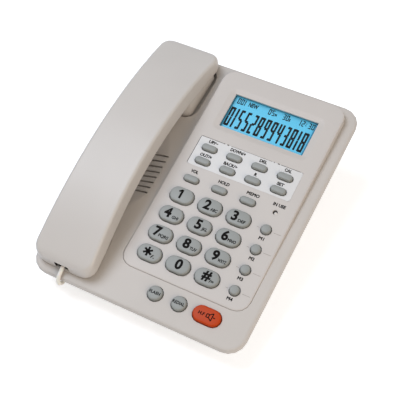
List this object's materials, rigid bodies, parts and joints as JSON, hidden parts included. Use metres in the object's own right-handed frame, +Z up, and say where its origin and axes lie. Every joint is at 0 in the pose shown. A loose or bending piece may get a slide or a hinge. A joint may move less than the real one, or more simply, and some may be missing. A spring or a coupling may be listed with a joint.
{
  "type": "corded desk telephone",
  "caption": "Corded desk telephone with a tilted base, caller display, dial and function keys, arched handset lying in its cradle, and a curly handset cord.",
  "frame": {"origin": "centre of the telephone without its cord, on the surface that its rubber feet stand on", "axes": "+X to the right of the user, +Y away from the user towards the sockets at the back, +Z up"},
  "size_m": [0.185, 0.2555, 0.0842],
  "materials": {
    "base_plastic": "satin, finely textured",
    "handset_plastic": "satin, finely textured",
    "key_plastic": "satin",
    "orange_plastic": "satin",
    "label_plastic": "smooth",
    "light_guide": "diffusing",
    "clear_plastic": "clear",
    "display": "lit blue",
    "circuit_board": "lacquered",
    "silicone": "matt",
    "lamp": "clear diffusing",
    "dark_plastic": "moulded",
    "foot_rubber": "matt",
    "cord_plastic": "smooth"
  },
  "bodies": {
    "base": {"upper_shell": "base_plastic", "faceplate": "base_plastic", "label_plate": "label_plastic", "display_window": "clear_plastic", "display_glass": "display", "backlight": "light_guide", "main_board": "circuit_board", "keypad_mat": "silicone", "in_use_lamp": "lamp", "loudspeaker": "dark_plastic", "hook_switch": "dark_plastic", "lower_shell": "base_plastic", "foot_1": "foot_rubber", "foot_2": "foot_rubber", "foot_3": "foot_rubber", "foot_4": "foot_rubber", "line_jack": "dark_plastic", "handset_jack": "dark_plastic", "base_plug": "clear_plastic", "handset_cord": "cord_plastic", "curly_cord": "cord_plastic"},
    "handset": {"handset_outer_shell": "handset_plastic", "handset_inner_shell": "handset_plastic", "earpiece": "dark_plastic", "microphone": "dark_plastic", "handset_socket": "dark_plastic", "handset_plug": "clear_plastic"},
    "cradle_plunger": {"hook_plunger": "base_plastic"},
    "battery_cover": {"battery_door": "base_plastic"},
    "ringer_knob": {"ringer_switch": "dark_plastic"},
    "key_1_body": {"key_1": "key_plastic"},
    "key_2_body": {"key_2": "key_plastic"},
    "key_3_body": {"key_3": "key_plastic"},
    "key_4_body": {"key_4": "key_plastic"},
    "key_5_body": {"key_5": "key_plastic"},
    "key_6_body": {"key_6": "key_plastic"},
    "key_7_body": {"key_7": "key_plastic"},
    "key_8_body": {"key_8": "key_plastic"},
    "key_9_body": {"key_9": "key_plastic"},
    "key_star_body": {"key_star": "key_plastic"},
    "key_0_body": {"key_0": "key_plastic"},
    "key_hash_body": {"key_hash": "key_plastic"},
    "key_up_body": {"key_up": "key_plastic"},
    "key_down_body": {"key_down": "key_plastic"},
    "key_delete_body": {"key_delete": "key_plastic"},
    "key_call_body": {"key_call": "key_plastic"},
    "key_out_body": {"key_out": "key_plastic"},
    "key_back_body": {"key_back": "key_plastic"},
    "key_answer_body": {"key_answer": "key_plastic"},
    "key_set_body": {"key_set": "key_plastic"},
    "key_volume_body": {"key_volume": "key_plastic"},
    "key_hold_body": {"key_hold": "key_plastic"},
    "key_memo_body": {"key_memo": "key_plastic"},
    "key_m1_body": {"key_m1": "key_plastic"},
    "key_m2_body": {"key_m2": "key_plastic"},
    "key_m3_body": {"key_m3": "key_plastic"},
    "key_m4_body": {"key_m4": "key_plastic"},
    "key_flash_body": {"key_flash": "key_plastic"},
    "key_redial_body": {"key_redial": "key_plastic"},
    "key_speaker_body": {"key_speaker": "orange_plastic"}
  },
  "joints": [
    {"name": "handset_lift", "type": "slide", "parent": "base", "child": "handset", "axis": [0, -0.1908, 0.9816], "range_m": [0, 0.08]},
    {"name": "cradle_plunger_rise", "type": "slide", "parent": "base", "child": "cradle_plunger", "axis": [0, -0.1908, 0.9816], "range_m": [0, 0.004]},
    {"name": "battery_cover_slide", "type": "slide", "parent": "base", "child": "battery_cover", "axis": [0, 1, 0], "range_m": [0, 0.046]},
    {"name": "ringer_knob_slide", "type": "slide", "parent": "base", "child": "ringer_knob", "axis": [1, 0, 0], "range_m": [0, 0.005]},
    {"name": "key_1_press", "type": "slide", "parent": "base", "child": "key_1_body", "axis": [0, -0.225, 0.9744], "range_m": [-0.0015, 0], "stiffness_N_per_m": 300},
    {"name": "key_2_press", "type": "slide", "parent": "base", "child": "key_2_body", "axis": [0, -0.225, 0.9744], "range_m": [-0.0015, 0], "stiffness_N_per_m": 300},
    {"name": "key_3_press", "type": "slide", "parent": "base", "child": "key_3_body", "axis": [0, -0.225, 0.9744], "range_m": [-0.0015, 0], "stiffness_N_per_m": 300},
    {"name": "key_4_press", "type": "slide", "parent": "base", "child": "key_4_body", "axis": [0, -0.225, 0.9744], "range_m": [-0.0015, 0], "stiffness_N_per_m": 300},
    {"name": "key_5_press", "type": "slide", "parent": "base", "child": "key_5_body", "axis": [0, -0.225, 0.9744], "range_m": [-0.0015, 0], "stiffness_N_per_m": 300},
    {"name": "key_6_press", "type": "slide", "parent": "base", "child": "key_6_body", "axis": [0, -0.225, 0.9744], "range_m": [-0.0015, 0], "stiffness_N_per_m": 300},
    {"name": "key_7_press", "type": "slide", "parent": "base", "child": "key_7_body", "axis": [0, -0.225, 0.9744], "range_m": [-0.0015, 0], "stiffness_N_per_m": 300},
    {"name": "key_8_press", "type": "slide", "parent": "base", "child": "key_8_body", "axis": [0, -0.225, 0.9744], "range_m": [-0.0015, 0], "stiffness_N_per_m": 300},
    {"name": "key_9_press", "type": "slide", "parent": "base", "child": "key_9_body", "axis": [0, -0.225, 0.9744], "range_m": [-0.0015, 0], "stiffness_N_per_m": 300},
    {"name": "key_star_press", "type": "slide", "parent": "base", "child": "key_star_body", "axis": [0, -0.225, 0.9744], "range_m": [-0.0015, 0], "stiffness_N_per_m": 300},
    {"name": "key_0_press", "type": "slide", "parent": "base", "child": "key_0_body", "axis": [0, -0.225, 0.9744], "range_m": [-0.0015, 0], "stiffness_N_per_m": 300},
    {"name": "key_hash_press", "type": "slide", "parent": "base", "child": "key_hash_body", "axis": [0, -0.225, 0.9744], "range_m": [-0.0015, 0], "stiffness_N_per_m": 300},
    {"name": "key_up_press", "type": "slide", "parent": "base", "child": "key_up_body", "axis": [0, -0.225, 0.9744], "range_m": [-0.0015, 0], "stiffness_N_per_m": 300},
    {"name": "key_down_press", "type": "slide", "parent": "base", "child": "key_down_body", "axis": [0, -0.225, 0.9744], "range_m": [-0.0015, 0], "stiffness_N_per_m": 300},
    {"name": "key_delete_press", "type": "slide", "parent": "base", "child": "key_delete_body", "axis": [0, -0.225, 0.9744], "range_m": [-0.0015, 0], "stiffness_N_per_m": 300},
    {"name": "key_call_press", "type": "slide", "parent": "base", "child": "key_call_body", "axis": [0, -0.225, 0.9744], "range_m": [-0.0015, 0], "stiffness_N_per_m": 300},
    {"name": "key_out_press", "type": "slide", "parent": "base", "child": "key_out_body", "axis": [0, -0.225, 0.9744], "range_m": [-0.0015, 0], "stiffness_N_per_m": 300},
    {"name": "key_back_press", "type": "slide", "parent": "base", "child": "key_back_body", "axis": [0, -0.225, 0.9744], "range_m": [-0.0015, 0], "stiffness_N_per_m": 300},
    {"name": "key_answer_press", "type": "slide", "parent": "base", "child": "key_answer_body", "axis": [0, -0.225, 0.9744], "range_m": [-0.0015, 0], "stiffness_N_per_m": 300},
    {"name": "key_set_press", "type": "slide", "parent": "base", "child": "key_set_body", "axis": [0, -0.225, 0.9744], "range_m": [-0.0015, 0], "stiffness_N_per_m": 300},
    {"name": "key_volume_press", "type": "slide", "parent": "base", "child": "key_volume_body", "axis": [0, -0.225, 0.9744], "range_m": [-0.0015, 0], "stiffness_N_per_m": 300},
    {"name": "key_hold_press", "type": "slide", "parent": "base", "child": "key_hold_body", "axis": [0, -0.225, 0.9744], "range_m": [-0.0015, 0], "stiffness_N_per_m": 300},
    {"name": "key_memo_press", "type": "slide", "parent": "base", "child": "key_memo_body", "axis": [0, -0.225, 0.9744], "range_m": [-0.0015, 0], "stiffness_N_per_m": 300},
    {"name": "key_m1_press", "type": "slide", "parent": "base", "child": "key_m1_body", "axis": [0, -0.225, 0.9744], "range_m": [-0.0015, 0], "stiffness_N_per_m": 300},
    {"name": "key_m2_press", "type": "slide", "parent": "base", "child": "key_m2_body", "axis": [0, -0.225, 0.9744], "range_m": [-0.0015, 0], "stiffness_N_per_m": 300},
    {"name": "key_m3_press", "type": "slide", "parent": "base", "child": "key_m3_body", "axis": [0, -0.225, 0.9744], "range_m": [-0.0015, 0], "stiffness_N_per_m": 300},
    {"name": "key_m4_press", "type": "slide", "parent": "base", "child": "key_m4_body", "axis": [0, -0.225, 0.9744], "range_m": [-0.0015, 0], "stiffness_N_per_m": 300},
    {"name": "key_flash_press", "type": "slide", "parent": "base", "child": "key_flash_body", "axis": [0, -0.1908, 0.9816], "range_m": [-0.0015, 0], "stiffness_N_per_m": 300},
    {"name": "key_redial_press", "type": "slide", "parent": "base", "child": "key_redial_body", "axis": [0, -0.1908, 0.9816], "range_m": [-0.0015, 0], "stiffness_N_per_m": 300},
    {"name": "key_speaker_press", "type": "slide", "parent": "base", "child": "key_speaker_body", "axis": [0, -0.1908, 0.9816], "range_m": [-0.0015, 0], "stiffness_N_per_m": 300}
  ],
  "couplings": [
    {"joint": "cradle_plunger_rise", "follows": "handset_lift", "ratio": 0.05}
  ]
}
